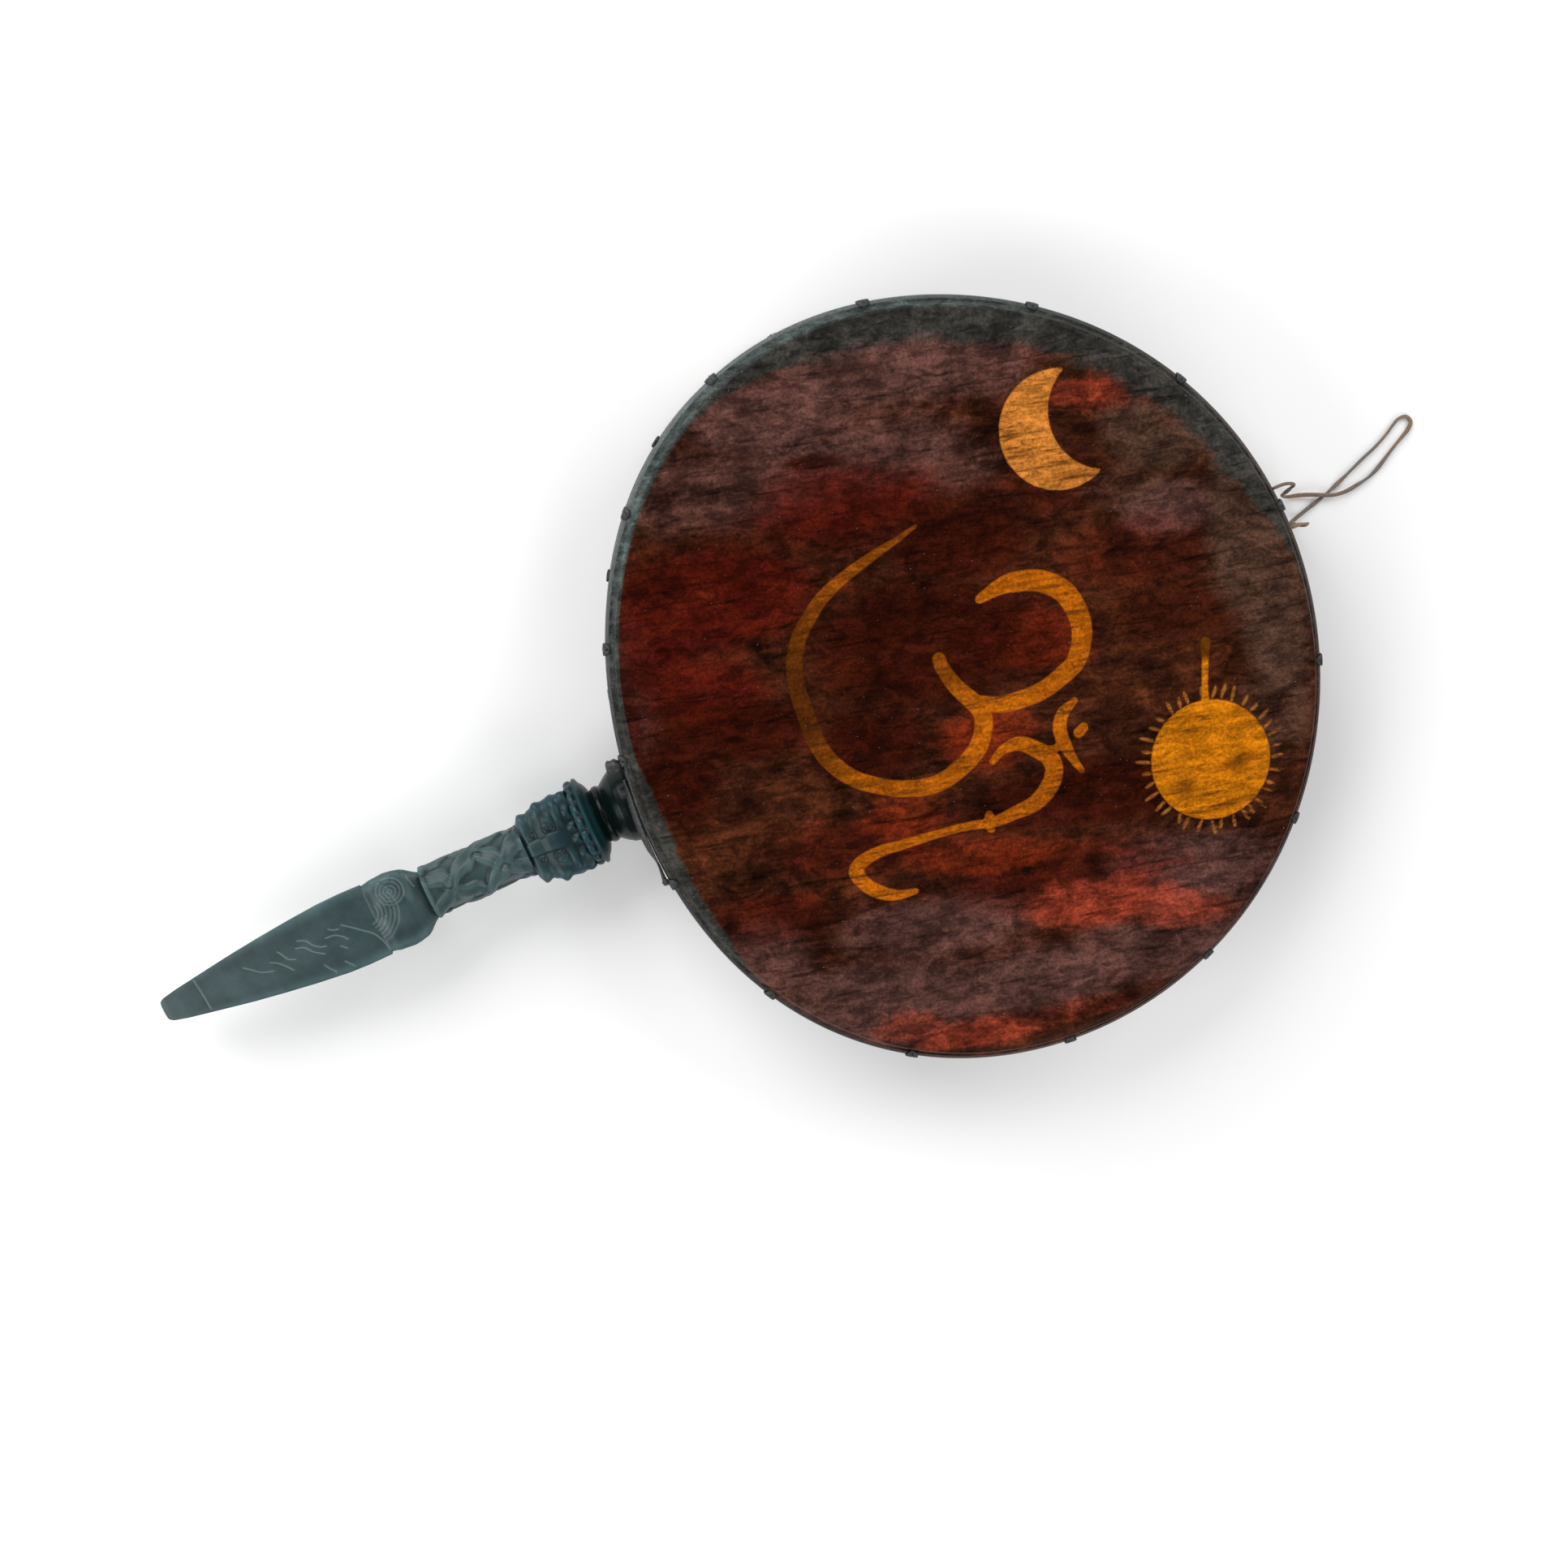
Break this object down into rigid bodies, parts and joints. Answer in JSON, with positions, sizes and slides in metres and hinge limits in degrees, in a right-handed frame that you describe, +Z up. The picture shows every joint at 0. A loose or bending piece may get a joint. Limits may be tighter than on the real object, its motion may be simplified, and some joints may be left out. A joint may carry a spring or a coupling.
{
  "type": "temple hand drum",
  "caption": "Two-headed hand drum: bent wooden hoop, rawhide heads on cane rings, thong lacing, carved dagger handle and a hanging loop.",
  "frame": {"origin": "centre of the back head's underside, on which the drum lies", "axes": "+Z up, out of the painted front head; the handle points along -X and the hanging loop leaves at +X"},
  "size_m": [0.702, 0.3834, 0.07],
  "materials": {
    "hoop_wood": "satin",
    "front_rawhide": "satin",
    "back_rawhide": "satin",
    "ring_cane": "satin",
    "lacing_thong": "satin",
    "handle_wood": "satin",
    "loop_thong": "matte"
  },
  "bodies": {
    "root": {"hoop": "hoop_wood", "front_head": "front_rawhide", "back_head": "back_rawhide", "front_ring": "ring_cane", "back_ring": "ring_cane", "lacing": "lacing_thong", "handle": "handle_wood", "hanging_loop": "loop_thong"}
  },
  "joints": []
}
